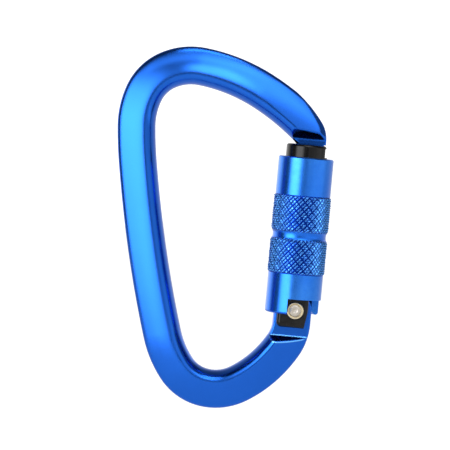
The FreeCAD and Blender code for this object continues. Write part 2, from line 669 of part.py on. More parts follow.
def make_sleeve():
    """The twist sleeve: knurled bands outside, a bore with a shoulder, and a corner notch."""
    body = new_body("locking_sleeve")
    turned(body, "sleeve_turning", [
        ("sleeve_bore + skirt_bevel", "0 - sleeve_foot"),
        ("sleeve_radius", "0 - sleeve_foot"),
        ("sleeve_radius", "low_knurl_start - knurl_bevel"),
        ("knurl_radius", "low_knurl_start"),
        ("knurl_radius", "groove_start"),
        ("groove_radius", "groove_start + groove_slope"),
        ("groove_radius", "groove_end - groove_slope"),
        ("knurl_radius", "groove_end"),
        ("knurl_radius", "high_knurl_end"),
        ("sleeve_radius", "high_knurl_end + knurl_bevel"),
        ("sleeve_radius", "sleeve_end - sleeve_edge"),
        ("sleeve_radius - sleeve_edge", "sleeve_end"),
        ("head_radius + running_gap", "sleeve_end"),
        ("head_radius + running_gap", "shoulder_top"),
        ("shoulder_radius", "shoulder_top"),
        ("shoulder_radius", "shoulder_foot"),
        ("sleeve_bore", "shoulder_foot"),
        ("sleeve_bore", "skirt_bevel - sleeve_foot")])
    rounded(body, "rim_rounding", "rim_round",
            lambda edge: is_circle_at(edge, "sleeve_radius", "0 - sleeve_foot"))

    notch = new_sketch(body, "notch", "XY_Plane", (0, 0, "notch_height"))
    draw_box(notch, ("0 - notch_left", "0 - 2 * knurl_radius"), ("2 * knurl_radius", "notch_back"))
    cut(body, "notch_cut", notch, "2 * (notch_height + sleeve_foot)", both_ways=False)

    # arc in the shoulder that lets the stop pin travel
    track = new_sketch(body, "stop_track", "XY_Plane", (0, 0, "shoulder_top"))
    start, end = "(90 - stop_angle)", "(90 + sleeve_turn + stop_angle)"
    near, far = "(shoulder_radius - stop_radius)", "(stop_place + stop_radius + stop_room)"
    draw_outline(track, [(f"{near} * cos{start}", f"{near} * sin{start}"),
                         (f"{far} * cos{start}", f"{far} * sin{start}"),
                         (f"{far} * cos{end}", f"{far} * sin{end}", far, 1),
                         (f"{near} * cos{end}", f"{near} * sin{end}")])
    cut(body, "stop_track_cut", track, "stop_length - stop_grip + stop_room", both_ways=False)

    leg = new_sketch(body, "leg_hole", "XY_Plane", (0, 0, "shoulder_foot"))
    draw_circle(leg, "coil_radius", "0", "coil_wire / 2 + seat_gap")
    cut(body, "leg_hole_cut", leg, "coil_leg + stop_room", both_ways=False, reverse=True)
    return body


# ---- small parts ----

def make_rivet():
    """The hinge rivet, with a dished head at each end."""
    body = new_body("hinge_rivet", tilted=False)
    body.Placement = Placement(Vector(), Rotation(Vector(1, 0, 0), 90))
    body.setExpression("Placement.Base.x", bound("pivot_x"))
    body.setExpression("Placement.Base.z", bound("pivot_z"))
    slope = "rivet_height - rivet_floor"
    half = [("rivet_radius", "fork_half"), ("rivet_head", "fork_half"),
            ("rivet_head", "fork_half + rivet_height"), ("rivet_dish", "fork_half + rivet_height"),
            (f"rivet_dish - ({slope})", "fork_half + rivet_floor"), ("0", "fork_half + rivet_floor")]
    mirrored = [(radius, f"0 - ({height})") for radius, height in reversed(half)]
    turned(body, "rivet_turning", half + mirrored)
    for name, rim in (("rivet_front_rim", "fork_half + rivet_height"),
                      ("rivet_back_rim", "0 - fork_half - rivet_height")):
        rounded(body, name, "rivet_rim", lambda edge: is_circle_at(edge, "rivet_head", rim))
    return body


def make_plunger():
    """The pin that the gate's spring presses on the tang."""
    body = new_body("gate_plunger")
    guide = "plunger_bore - running_gap"
    turned(body, "plunger_turning", [
        ("0", "plunger_start"), ("plunger_tip", "plunger_start"), ("plunger_tip", "guide_foot"),
        (guide, "guide_foot"), (guide, "guide_top"), ("plunger_pilot", "guide_top"),
        ("plunger_pilot", "guide_top + pilot_length"), ("0", "guide_top + pilot_length")])
    rounded(body, "tip_rounding", "plunger_round",
            lambda edge: is_circle_at(edge, "plunger_tip", "plunger_start"))
    return body


def make_bush():
    """The bush that guides the sleeve's lower end and carries its spring."""
    body = new_body("sleeve_bush")
    outer = "sleeve_bore - running_gap"
    turned(body, "bush_turning", [("neck_radius", "bush_foot"), (outer, "bush_foot"),
                                  (outer, "bush_top"), ("neck_radius", "bush_top")])
    leg = new_sketch(body, "bush_leg_hole", "XY_Plane", (0, 0, "bush_top"))
    draw_circle(leg, "coil_radius", "0", "coil_wire / 2 + seat_gap")
    cut(body, "bush_leg_hole_cut", leg, "coil_leg + stop_room", both_ways=False)
    return body


def make_ring():
    """The open ring that keeps the bush on the neck."""
    body = new_body("retaining_ring")
    inner = "neck_radius - ring_depth"
    turned(body, "ring_turning", [(inner, "ring_foot"), ("ring_radius", "ring_foot"),
                                  ("ring_radius", "bush_foot"), (inner, "bush_foot")], "ring_turn")
    return body


def make_stop_pin():
    """The pin in the gate's head that stands in the sleeve's track."""
    pin = doc.addObject("Part::Cylinder", "stop_pin")
    pin.Label = "stop_pin"
    pin.setExpression("Radius", bound("stop_radius"))
    pin.setExpression("Height", bound("stop_length"))
    foot = "(head_foot + stop_grip - stop_length)"
    pin.Placement = Placement(Vector(), Rotation(GATE_AXIS, value_of("gate_tilt")))
    pin.setExpression("Placement.Rotation.Angle", bound("gate_tilt"))
    pin.setExpression("Placement.Base.x", bound(f"hinge_x + {foot} * sin(gate_tilt)"))
    pin.setExpression("Placement.Base.y", bound("stop_place"))
    pin.setExpression("Placement.Base.z", bound(f"hinge_z + {foot} * cos(gate_tilt)"))
    doc.recompute()
    return pin


def make_coil(name, radius, wire, start, height, turns, legs):
    """A helical spring on the gate's axis. legs are (foot, length) of its straight ends."""
    helix = doc.addObject("Part::Helix", f"{name}_helix")
    helix.setExpression("Radius", bound(radius))
    helix.setExpression("Height", bound(height))
    helix.setExpression("Pitch", bound(f"{height} / {turns}"))
    helix.setExpression("Placement.Base.z", bound(start))
    ring = doc.addObject("Part::Circle", f"{name}_section")
    ring.Placement = Placement(Vector(), Rotation(Vector(1, 0, 0), 90))
    ring.setExpression("Radius", bound(f"{wire} / 2"))
    ring.setExpression("Placement.Base.x", bound(radius))
    ring.setExpression("Placement.Base.z", bound(start))
    doc.recompute()
    sweep = doc.addObject("Part::Sweep", f"{name}_sweep")
    sweep.Sections = [ring]
    sweep.Spine = (helix, [f"Edge{number}" for number in range(1, len(helix.Shape.Edges) + 1)])
    sweep.Solid = True
    sweep.Frenet = True
    doc.recompute()
    pieces = [sweep]
    for number, (foot, length) in enumerate(legs, 1):
        leg = doc.addObject("Part::Cylinder", f"{name}_leg_{number}")
        leg.setExpression("Radius", bound(f"{wire} / 2"))
        leg.setExpression("Height", bound(length))
        leg.setExpression("Placement.Base.x", bound(radius))
        leg.setExpression("Placement.Base.z", bound(foot))
        pieces.append(leg)
    whole = sweep
    if legs:
        whole = doc.addObject("Part::MultiFuse", f"{name}_whole")
        whole.Shapes = pieces
    doc.recompute()
    whole.Label = name
    tilt_into_place(whole)
    doc.recompute()
    return whole


def check_and_export(pieces):
    """Stops on any failed object, and writes one STEP file for each piece."""
    for item in doc.Objects:
        if any(state in item.State for state in ("Invalid", "Error")):
            raise RuntimeError(f"{item.Name} failed: {item.State}")
    os.makedirs("parts", exist_ok=True)
    for piece in pieces:
        shape = piece.Shape
        if shape.isNull() or not shape.isValid():
            raise RuntimeError(f"{piece.Label} has no valid shape")
        shape.exportStep(f"parts/{piece.Label}.step")
        print(f"{piece.Label:16s} solids {len(shape.Solids)} volume {shape.Volume:10.2f} mm3")


doc = FreeCAD.newDocument("locking_carabiner")
write_sheet(doc)
write_derived(doc)
frame = make_frame()
gate = make_gate()
sleeve = make_sleeve()
small_parts = [make_rivet(), make_plunger(), make_bush(), make_ring(), make_stop_pin()]
sleeve_spring = make_coil(
    "sleeve_spring", "coil_radius", "coil_wire", "coil_start", "coil_height", "coil_turns",
    [("bush_top - coil_leg", "coil_leg + coil_wire / 2 + seat_gap"),
     ("coil_start + coil_height", "coil_leg + coil_wire / 2 + seat_gap")])
gate_spring = make_coil(
    "gate_spring", "gate_coil_radius", "gate_wire", "gate_coil_start", "gate_coil_height",
    "gate_turns", [])
doc.recompute()
check_and_export([frame, gate, sleeve, *small_parts, sleeve_spring, gate_spring])
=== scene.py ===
# %% [markdown]
# # A locking carabiner, dressed for its portrait
# The carabiner is a forged aluminium bar, bent into a D and closed by a gate. A sleeve on the gate
# turns before the gate opens.

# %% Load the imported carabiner
import json
import math
import random

import bmesh
import bpy
from mathutils import Matrix, Vector


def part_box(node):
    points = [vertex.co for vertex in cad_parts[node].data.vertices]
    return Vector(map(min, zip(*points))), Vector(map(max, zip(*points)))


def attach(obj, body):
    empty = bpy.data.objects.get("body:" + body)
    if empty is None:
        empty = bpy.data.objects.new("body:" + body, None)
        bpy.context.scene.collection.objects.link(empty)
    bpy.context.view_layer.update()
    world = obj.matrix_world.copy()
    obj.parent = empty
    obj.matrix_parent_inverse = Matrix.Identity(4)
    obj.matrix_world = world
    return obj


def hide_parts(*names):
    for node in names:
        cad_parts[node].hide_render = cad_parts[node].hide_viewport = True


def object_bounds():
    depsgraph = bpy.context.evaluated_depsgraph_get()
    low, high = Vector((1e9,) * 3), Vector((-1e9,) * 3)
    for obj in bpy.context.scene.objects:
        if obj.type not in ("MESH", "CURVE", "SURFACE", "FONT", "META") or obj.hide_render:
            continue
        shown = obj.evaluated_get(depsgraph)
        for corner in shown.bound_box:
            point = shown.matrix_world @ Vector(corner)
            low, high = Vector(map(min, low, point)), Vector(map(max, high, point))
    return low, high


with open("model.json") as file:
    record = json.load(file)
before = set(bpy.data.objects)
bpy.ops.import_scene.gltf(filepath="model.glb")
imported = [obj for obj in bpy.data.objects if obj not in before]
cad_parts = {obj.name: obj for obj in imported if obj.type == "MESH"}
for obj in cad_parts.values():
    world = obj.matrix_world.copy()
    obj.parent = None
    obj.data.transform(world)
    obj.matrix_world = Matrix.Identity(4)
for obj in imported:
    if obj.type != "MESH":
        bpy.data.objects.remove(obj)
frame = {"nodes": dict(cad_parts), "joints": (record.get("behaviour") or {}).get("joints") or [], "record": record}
cad_low, cad_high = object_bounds()
MM = 0.001
nodes = frame["nodes"]
print("pieces:", sorted(nodes))

# %% [markdown]
# The gate leans about 12 degrees from upright, and everything on it is round about that leaning
# axis. Positions on it are easier in the gate's own frame: its origin on the axis beside the
# hinge, and Z along the axis. The sleeve's joint gives both, so nothing is measured by eye.

# %% The gate's own frame
joints = {joint["name"]: joint for joint in frame["joints"]}
gate_axis = Vector(joints["sleeve_twist"]["axis"]).normalized()
gate_origin = Vector(joints["sleeve_twist"]["pos_m"])
across = Vector((0, 1, 0)).cross(gate_axis)
GATE = Matrix((across, Vector((0, 1, 0)), gate_axis)).transposed().to_4x4()
GATE.translation = gate_origin
FROM_GATE = GATE.inverted()


def measure_on_gate(node):
    """Largest radius about the gate's axis, and lowest and highest point along it, in mm."""
    points = [FROM_GATE @ vertex.co for vertex in nodes[node].data.vertices]
    radius = max(math.hypot(point.x, point.y) for point in points)
    heights = [point.z for point in points]
    return radius / MM, min(heights) / MM, max(heights) / MM


sleeve_radius, sleeve_low, sleeve_high = measure_on_gate("locking_sleeve")
print(f"sleeve: radius {sleeve_radius:.2f} mm, from {sleeve_low:.2f} to {sleeve_high:.2f} mm")

# %% [markdown]
# The camera stands almost straight in front of the carabiner, a little above its middle, with a
# long lens. A long lens keeps the D true, as a wide one would swell whatever is nearest. The
# camera is rolled, so the carabiner leans as if it had just been set down.

# %% Camera
ROLL = math.radians(6.8)
ELEVATION = math.radians(2.2)
DISTANCE = 0.8            # metres
VIEW_WIDTH = 136.14 * MM
target = Vector((7.15 * MM, 0, -43.3 * MM))      # the point that the camera and lights face
backward = Vector((0, -math.cos(ELEVATION), math.sin(ELEVATION)))
level_up = Vector((0, math.sin(ELEVATION), math.cos(ELEVATION)))
camera_up = level_up * math.cos(ROLL) + Vector((1, 0, 0)) * math.sin(ROLL)
camera_right = camera_up.cross(backward)
camera = bpy.data.objects.new("camera", bpy.data.cameras.new("camera"))
bpy.context.collection.objects.link(camera)
camera.matrix_world = Matrix.Translation(target + backward * DISTANCE) @ Matrix(
    (camera_right, camera_up, backward)).transposed().to_4x4()
camera.data.sensor_width = 36
camera.data.lens = camera.data.sensor_width * DISTANCE / VIEW_WIDTH
camera.data.clip_start = 0.01
bpy.context.scene.camera = camera
bpy.context.scene.view_settings.view_transform = "Standard"
print(f"lens {camera.data.lens:.0f} mm at {DISTANCE} m")

# %% [markdown]
# Materials, lights and the world are all graphs of small nodes: each does one sum, and its output
# goes on to the next. They can be placed by hand in the shader editor. Here the same few patterns
# come back in graph after graph, so each is a function that adds its node and gives its output.

# %% Node helpers
def new_node(tree, kind, values=(), **settings):
    """Adds a node, sets its properties, and sets its inputs by name or number."""
    node = tree.nodes.new(kind)
    for key, value in settings.items():
        setattr(node, key, value)
    for key, value in dict(values).items():
        node.inputs[key].default_value = value
    return node


def math_node(tree, operation, *values):
    """A Math node fed by numbers or by other nodes' outputs."""
    node = new_node(tree, "ShaderNodeMath", operation=operation)
    for socket, value in zip(node.inputs, values):
        if isinstance(value, (int, float)):
            socket.default_value = value
        else:
            tree.links.new(value, socket)
    return node.outputs[0]


def ramp_node(tree, factor, stops):
    """A colour ramp of greys, given as (position, brightness)."""
    node = new_node(tree, "ShaderNodeValToRGB")
    tree.links.new(factor, node.inputs["Fac"])
    elements = node.color_ramp.elements
    while len(elements) < len(stops):
        elements.new(0.5)
    for element, (position, level) in zip(elements, stops):
        element.position = position
    for element, (position, level) in zip(elements, stops):
        element.color = (level, level, level, 1)
    return node.outputs["Color"]


def step_node(tree, value, start, end, low=0.0, high=1.0):
    """An S-curve from low to high as a value goes from start to end."""
    node = new_node(tree, "ShaderNodeMapRange", {"From Min": start, "From Max": end,
                                                 "To Min": low, "To Max": high},
                    interpolation_type="SMOOTHSTEP")
    tree.links.new(value, node.inputs["Value"])
    return node.outputs["Result"]


def dot_node(tree, vector, direction):
    """How far a vector reaches along a fixed direction."""
    node = new_node(tree, "ShaderNodeVectorMath", {1: direction}, operation="DOT_PRODUCT")
    tree.links.new(vector, node.inputs[0])
    return node.outputs["Value"]


def mix_node(tree, factor, first, second):
    """A colour between two, each of them three numbers or another node's output."""
    node = new_node(tree, "ShaderNodeMix", data_type="RGBA", blend_type="MIX")
    tree.links.new(factor, node.inputs["Factor"])
    for label, colour in (("A", first), ("B", second)):
        if isinstance(colour, (tuple, list)):
            node.inputs[label].default_value = (*colour, 1)
        else:
            tree.links.new(colour, node.inputs[label])
    return node.outputs["Result"]


helpers = (new_node, math_node, ramp_node, step_node, dot_node, mix_node)
print("node helpers:", [helper.__name__ for helper in helpers])

# %% [markdown]
# Polished, dyed metal has hardly a colour of its own: it shows the room. So the room is the main
# material here. Its walls are a ramp of brightness round the horizon, in the world's shader: white
# behind the carabiner and on its right, and dim grey on its left, which draws the dark line down
# the sleeve. Three dark things are set into it: the camera's stand, a black flag at the right that
# deepens the nose's cut, and the ceiling behind, which draws the thin navy rim along the bar.

# %% The room
def heading(bearing_deg, height_deg):
    """Direction from the carabiner to a bearing and a height."""
    bearing, rise = math.radians(bearing_deg), math.radians(height_deg)
    return Vector((-math.sin(bearing) * math.cos(rise), -math.cos(bearing) * math.cos(rise),
                   math.sin(rise)))


# Bearing from the camera's side, in degrees, positive to the carabiner's left; then brightness.
WALLS = ((-180, 1.3), (-150, 1.1), (-120, 1.1), (-90, 1.1), (-60, 1.1), (-20, 1.15), (-6, 0.9),
         (4, 0.6), (16, 0.4), (60, 0.3), (70, 0.1), (104, 0.2), (116, 1.3), (130, 1.8),
         (180, 1.4))
# Height, as the sine of the elevation; then a factor on the walls.
HEIGHTS = ((-1.0, 0.5), (-0.3, 0.5), (-0.12, 0.75), (0.0, 1.0), (0.35, 1.1), (0.55, 1.0),
           (0.72, 0.5), (1.0, 0.3))
BRIGHTEST = 2.0           # a ramp holds 0 to 1, so its greys are shares of this
# Things in the room: bearing and height of the middle, reach of the core and of its soft edge,
# all in degrees, and a factor on the walls' light.
CAMERA_STAND = (-2, 1.5, 2, 9, 0.15)
BLACK_FLAG = (-92, 26, 26, 38, 0.25)
DARK_CEILING = (180, 62, 44, 58, 0.55)

world = bpy.data.worlds.new("studio")
bpy.context.scene.world = world
world.use_nodes = True
tree = world.node_tree
tree.nodes.clear()
direction = new_node(tree, "ShaderNodeTexCoord").outputs["Generated"]
parts = new_node(tree, "ShaderNodeSeparateXYZ")
tree.links.new(direction, parts.inputs[0])
left = math_node(tree, "MULTIPLY", parts.outputs["X"], -1.0)
front = math_node(tree, "MULTIPLY", parts.outputs["Y"], -1.0)
bearing = math_node(tree, "ARCTAN2", left, front)
turn = math_node(tree, "ADD", math_node(tree, "DIVIDE", bearing, 2 * math.pi), 0.5)
walls = ramp_node(tree, turn, [((angle + 180) / 360, level / BRIGHTEST) for angle, level in WALLS])
height = math_node(tree, "ADD", math_node(tree, "MULTIPLY", parts.outputs["Z"], 0.5), 0.5)
factor = ramp_node(tree, height, [((sine + 1) / 2, level / BRIGHTEST) for sine, level in HEIGHTS])
room = math_node(tree, "MULTIPLY", walls, factor)
room = math_node(tree, "MULTIPLY", room, BRIGHTEST ** 2)
for spot in (CAMERA_STAND, BLACK_FLAG, DARK_CEILING):
    bearing_deg, height_deg, core_deg, edge_deg, dimming = spot
    core, edge = math.cos(math.radians(core_deg)), math.cos(math.radians(edge_deg))
    nearness = dot_node(tree, direction, heading(bearing_deg, height_deg))
    shade = step_node(tree, nearness, edge, core, low=1.0, high=dimming)
    room = math_node(tree, "MULTIPLY", room, shade)
rays = new_node(tree, "ShaderNodeLightPath").outputs
seen = math_node(tree, "MAXIMUM", rays["Is Camera Ray"], rays["Is Transmission Ray"])
strength = math_node(tree, "MAXIMUM", room, seen)
background = new_node(tree, "ShaderNodeBackground", {"Color": (1, 1, 1, 1)})
tree.links.new(strength, background.inputs["Strength"])
output = new_node(tree, "ShaderNodeOutputWorld")
tree.links.new(background.outputs[0], output.inputs[0])
print("world:", len(tree.nodes), "nodes")

# %% [markdown]
# The softboxes are area lights. The strong key stands at the front left, turned on its stand so
# its left end is high. The streak and the side box, right of the camera and above it, draw the
# bright bands down the sleeve and the spine. The ceiling box and the top box light the upper arm
# and its rim, and a weak card at the lower right lifts the bar's inner side.
#
# A light's brightness as a metal sees it is its power over its area and pi, so each one is given
# by the brightness wanted, and the power follows. A real softbox is brightest in its middle and
# fades towards its frame, and polished metal shows that fade, so each light dims across its own
# face: its shader reads the place on that face.

# %% Softboxes
def softbox(name, bearing_deg, height_deg, distance, size, brightness, fade, roll_deg=0.0):
    """An area light that faces the carabiner from a bearing and a height.

    fade is the share of each half of its width and height over which it dims to nothing. A
    positive roll turns the light on its stand, left end down.
    """
    lamp = bpy.data.lights.new(name, "AREA")
    lamp.shape = "RECTANGLE"
    lamp.size, lamp.size_y = size
    lamp.energy = brightness * math.pi * size[0] * size[1]
    lamp.use_nodes = True
    tree = lamp.node_tree
    place = new_node(tree, "ShaderNodeSeparateXYZ")
    tree.links.new(new_node(tree, "ShaderNodeNewGeometry").outputs["Parametric"], place.inputs[0])
    level = 1.0
    for axis, share in zip(place.outputs, fade):
        from_middle = math_node(tree, "ABSOLUTE", math_node(tree, "SUBTRACT", axis, 0.5))
        dimming = step_node(tree, from_middle, 0.5, 0.5 - share / 2)
        level = math_node(tree, "MULTIPLY", dimming, level)
    tree.links.new(level, tree.nodes["Emission"].inputs["Strength"])
    holder = bpy.data.objects.new(name, lamp)
    bpy.context.collection.objects.link(holder)
    toward = heading(bearing_deg, height_deg)
    holder.location = target + toward * distance
    turned = Matrix.Rotation(math.radians(roll_deg), 3, "Z")
    holder.rotation_euler = (toward.to_track_quat("Z", "Y").to_matrix() @ turned).to_euler()


softbox("key_softbox", 38, 11, 0.46, (0.54, 0.62), 5.5, (0.74, 1.0), roll_deg=-18)
softbox("streak_softbox", -9, 26, 0.68, (0.24, 0.20), 4.2, (0.6, 0.8))
softbox("side_softbox", -26, 32, 0.67, (0.40, 0.36), 1.9, (0.5, 0.7))
softbox("ceiling_softbox", 0, 42, 0.70, (0.76, 0.18), 1.3, (0.3, 0.7))
softbox("top_softbox", -24, 58, 0.70, (0.52, 0.20), 7.0, (0.6, 0.9))
softbox("bounce_card", -58, -10, 0.35, (0.50, 0.07), 0.65, (0.5, 0.8))

# %% [markdown]
# The floor is a plain pale sheet some way under the carabiner. It's lit like anything else, so it
# can take a shadow, and a little light of its own for the camera keeps it as white as the wall.

# %% Floor
FLOOR_DROP = 45 * MM
FLOOR_HALF = 3.0          # metres
PAPER_GREY = (0.45, 0.45, 0.45)
CAMERA_LIFT, GLOSSY_LIFT = 0.90, 0.61     # the sheet's own light, for the camera and in the metal
mesh = bpy.data.meshes.new("floor")
level = cad_low.z - FLOOR_DROP
mesh.from_pydata([(x * FLOOR_HALF, y * FLOOR_HALF, level)
                  for x, y in ((-1, -1), (1, -1), (1, 1), (-1, 1))], [], [(0, 1, 2, 3)])
floor = bpy.data.objects.new("floor", mesh)
bpy.context.collection.objects.link(floor)
paper = bpy.data.materials.new("floor_paper")
paper.use_nodes = True
tree = paper.node_tree
tree.nodes.clear()
sheet = new_node(tree, "ShaderNodeBsdfDiffuse", {"Color": (*PAPER_GREY, 1)})
glow = new_node(tree, "ShaderNodeEmission")
rays = new_node(tree, "ShaderNodeLightPath").outputs
seen = math_node(tree, "MAXIMUM", rays["Is Camera Ray"], rays["Is Transmission Ray"])
seen = math_node(tree, "MULTIPLY", seen, CAMERA_LIFT)
mirrored = math_node(tree, "MULTIPLY", rays["Is Glossy Ray"], GLOSSY_LIFT)
tree.links.new(math_node(tree, "MAXIMUM", seen, mirrored), glow.inputs["Strength"])
both = new_node(tree, "ShaderNodeAddShader")
tree.links.new(sheet.outputs[0], both.inputs[0])
tree.links.new(glow.outputs[0], both.inputs[1])
tree.links.new(both.outputs[0], new_node(tree, "ShaderNodeOutputMaterial").inputs[0])
mesh.materials.append(paper)
print(f"floor at {level / MM:.0f} mm")

# %% [markdown]
# Three effects come back in more than one finish: a fine grain from tumbling or brushing, corners
# rubbed where hands and rock touch them, and on turned parts fine rings round the gate's axis,
# which a noise that varies only along that axis makes well. Each is a node group, built once. A
# group puts out only masks and heights, and each material says what they do and how strongly.

# %% Shared effects
def new_group(name, inputs, outputs):
    """An empty node group with named float inputs (name, default) and float outputs."""
    group = bpy.data.node_groups.new(name, "ShaderNodeTree")
    for label, default in inputs:
        socket = group.interface.new_socket(label, in_out="INPUT", socket_type="NodeSocketFloat")
        socket.default_value = default
    for label in outputs:
        group.interface.new_socket(label, in_out="OUTPUT", socket_type="NodeSocketFloat")
    return group, group.nodes.new("NodeGroupInput"), group.nodes.new("NodeGroupOutput")


def build_grain():
    """Fine grain: a height for bump, and a slow variation for roughness and colour."""
    group, given, made = new_group("fine_grain", [("Grain Scale", 9000.0), ("Patch Scale", 140.0)],
                                   ["Height", "Patches"])
    place = new_node(group, "ShaderNodeTexCoord").outputs["Object"]
    grain = new_node(group, "ShaderNodeTexNoise", {"Detail": 3.0, "Roughness": 0.6})
    patches = new_node(group, "ShaderNodeTexNoise", {"Detail": 4.0, "Roughness": 0.55})
    for texture, scale, out in ((grain, "Grain Scale", "Height"), (patches, "Patch Scale", "Patches")):
        group.links.new(place, texture.inputs["Vector"])
        group.links.new(given.outputs[scale], texture.inputs["Scale"])
        group.links.new(texture.outputs["Fac"], made.inputs[out])
    return group


def build_wear():
    """Edge wear: where a surface turns sharply outward, broken up by noise."""
    group, given, made = new_group("edge_wear", [("Reach", 0.06), ("Break Up", 700.0)], ["Mask"])
    sharp = new_node(group, "ShaderNodeNewGeometry").outputs["Pointiness"]
    rise = math_node(group, "SUBTRACT", sharp, 0.5)
    rise = math_node(group, "DIVIDE", rise, given.outputs["Reach"])
    place = new_node(group, "ShaderNodeTexCoord").outputs["Object"]
    noise = new_node(group, "ShaderNodeTexNoise", {"Detail": 4.0})
    group.links.new(place, noise.inputs["Vector"])
    group.links.new(given.outputs["Break Up"], noise.inputs["Scale"])
    broken = math_node(group, "MULTIPLY", rise, noise.outputs["Fac"])
    clipped = new_node(group, "ShaderNodeClamp")
    group.links.new(broken, clipped.inputs["Value"])
    group.links.new(clipped.outputs[0], made.inputs["Mask"])
    return group


def build_turning():
    """Turning marks: the height of fine rings, spaced along the gate's axis."""
    group, given, made = new_group("turning_marks", [("Spacing", 0.12 * MM), ("Strength", 0.1)],
                                   ["Height"])
    place = new_node(group, "ShaderNodeTexCoord").outputs["Object"]
    along = dot_node(group, place, gate_axis)
    rings = new_node(group, "ShaderNodeTexNoise", {"Scale": 1.0, "Detail": 2.0},
                     noise_dimensions="1D")
    group.links.new(math_node(group, "DIVIDE", along, given.outputs["Spacing"]), rings.inputs["W"])
    marks = math_node(group, "MULTIPLY", rings.outputs["Fac"], given.outputs["Strength"])
    group.links.new(marks, made.inputs["Height"])
    return group


fine_grain = build_grain()
edge_wear = build_wear()
turning_marks = build_turning()
print("groups:", [group.name for group in bpy.data.node_groups])

# %% [markdown]
# Forging and tumbling leave a bar's edges softer than its solid has them, so the bar is shaded
# with rounder edges: broadly along its length, and finely where its ends are milled to meet the
# gate. A Bevel node does that, and its radius follows the distance from the gate's axis. Only the
# shading is rounder, and the shape stays as it is.

# %% Softened edges
MILLED_REACH = (8.0, 14.0)    # from the gate's axis: where milled ends pass into the forged bar, mm


def place_from_hinge(tree):
    """A point's place from the hinge end of the gate's axis, in metres."""
    node = new_node(tree, "ShaderNodeVectorMath", {1: gate_origin}, operation="SUBTRACT")
    tree.links.new(new_node(tree, "ShaderNodeTexCoord").outputs["Object"], node.inputs[0])
    return node.outputs["Vector"]


def aside_of_gate(tree):
    """How far a point lies to either side of the gate's axis, in metres."""
    return math_node(tree, "ABSOLUTE", dot_node(tree, place_from_hinge(tree), across))


def softened_normal(tree, milled_radius, forged_radius):
    """A normal that shades edges as if rounded, by radii in mm at the milled ends and elsewhere."""
    soft_edge = new_node(tree, "ShaderNodeBevel", samples=8)
    stops = [length * MM for length in (*MILLED_REACH, milled_radius, forged_radius)]
    tree.links.new(step_node(tree, aside_of_gate(tree), *stops), soft_edge.inputs["Radius"])
    return soft_edge.outputs["Normal"]


print("milled ends reach", MILLED_REACH, "mm from the gate's axis")

# %% [markdown]
# Anodising grows a hard clear skin on aluminium, and the dye sits in that skin. Light passes the
# dye twice, so the metal's reflection is tinted, while the skin's own faint shine stays white.
# That is a metallic shader in the dye's colour under a thin clear coat. The dye is a little
# uneven, and the sleeve's worn corners show a paler blue. The other metals and the plastic bush
# are made the same way, without the coat.

# %% Material builder
DYE_SPREAD = 0.07             # how far patches of the dye stray from its colour, as a share
ROUGHNESS_SPREAD = 0.06       # between the smoothest and the roughest patches
COAT_ROUGHNESS = 0.12
GRAIN_DEPTH = 0.05            # of the bump at full height, mm


def metal(name, colour, worn, roughness, grain=0.02, coat=0.0, wear=0.35, lines=None,
          metallic=1.0, gloss=0.5, rounding=None):
    """A finish in its own colour, and in another where its corners are worn.

    metallic is 0 where no metal shows: on plastic, and under a black dye. lines is (spacing in mm,
    strength) for turning marks round the gate's axis. rounding is a pair of radii in mm by which
    forging and tumbling have softened the edges: beside the gate's axis, where the ends are milled
    afterwards, and away from it.
    """
    material = bpy.data.materials.new(name)
    material.use_nodes = True
    tree = material.node_tree
    shader = tree.nodes["Principled BSDF"]
    shader.inputs["Metallic"].default_value = metallic
    shader.inputs["Coat Weight"].default_value = coat
    shader.inputs["Coat Roughness"].default_value = COAT_ROUGHNESS
    shader.inputs["Specular IOR Level"].default_value = gloss
    effect = new_node(tree, "ShaderNodeGroup", node_tree=fine_grain)
    worn_mask = new_node(tree, "ShaderNodeGroup", node_tree=edge_wear)

    darker = [channel * (1 - DYE_SPREAD) for channel in colour]
    lighter = [min(channel * (1 + DYE_SPREAD), 1) for channel in colour]
    dye = mix_node(tree, effect.outputs["Patches"], darker, lighter)
    rubbed = math_node(tree, "MULTIPLY", worn_mask.outputs["Mask"], wear)
    tree.links.new(mix_node(tree, rubbed, dye, worn), shader.inputs["Base Color"])

    level = new_node(tree, "ShaderNodeMapRange", {"To Min": roughness - ROUGHNESS_SPREAD / 2,
                                                  "To Max": roughness + ROUGHNESS_SPREAD / 2})
    tree.links.new(effect.outputs["Patches"], level.inputs["Value"])
    tree.links.new(level.outputs["Result"], shader.inputs["Roughness"])

    height = math_node(tree, "MULTIPLY", effect.outputs["Height"], grain)
    if lines:
        spacing, strength = lines
        marks = new_node(tree, "ShaderNodeGroup", {"Spacing": spacing * MM, "Strength": strength},
                         node_tree=turning_marks)
        height = math_node(tree, "ADD", height, marks.outputs["Height"])
    bump = new_node(tree, "ShaderNodeBump", {"Distance": GRAIN_DEPTH * MM, "Strength": 1.0})
    tree.links.new(height, bump.inputs["Height"])
    if rounding:
        tree.links.new(softened_normal(tree, *rounding), bump.inputs["Normal"])
    tree.links.new(bump.outputs["Normal"], shader.inputs["Normal"])
    return material


print("dye stays within", DYE_SPREAD, "of its colour")

# %% [markdown]
# The bar and the sleeve are dyed blue, the bar a little deeper. The gate's dye is so black that
# only the clear skin over it shines, so its shader isn't metallic. The rivet is steel with a
# brassy tint. The pins, springs, ring and bush are inside, where little of them is seen. Each
# recipe gives the colour, what shows where it is rubbed, the roughness, and what else sets that
# finish apart.

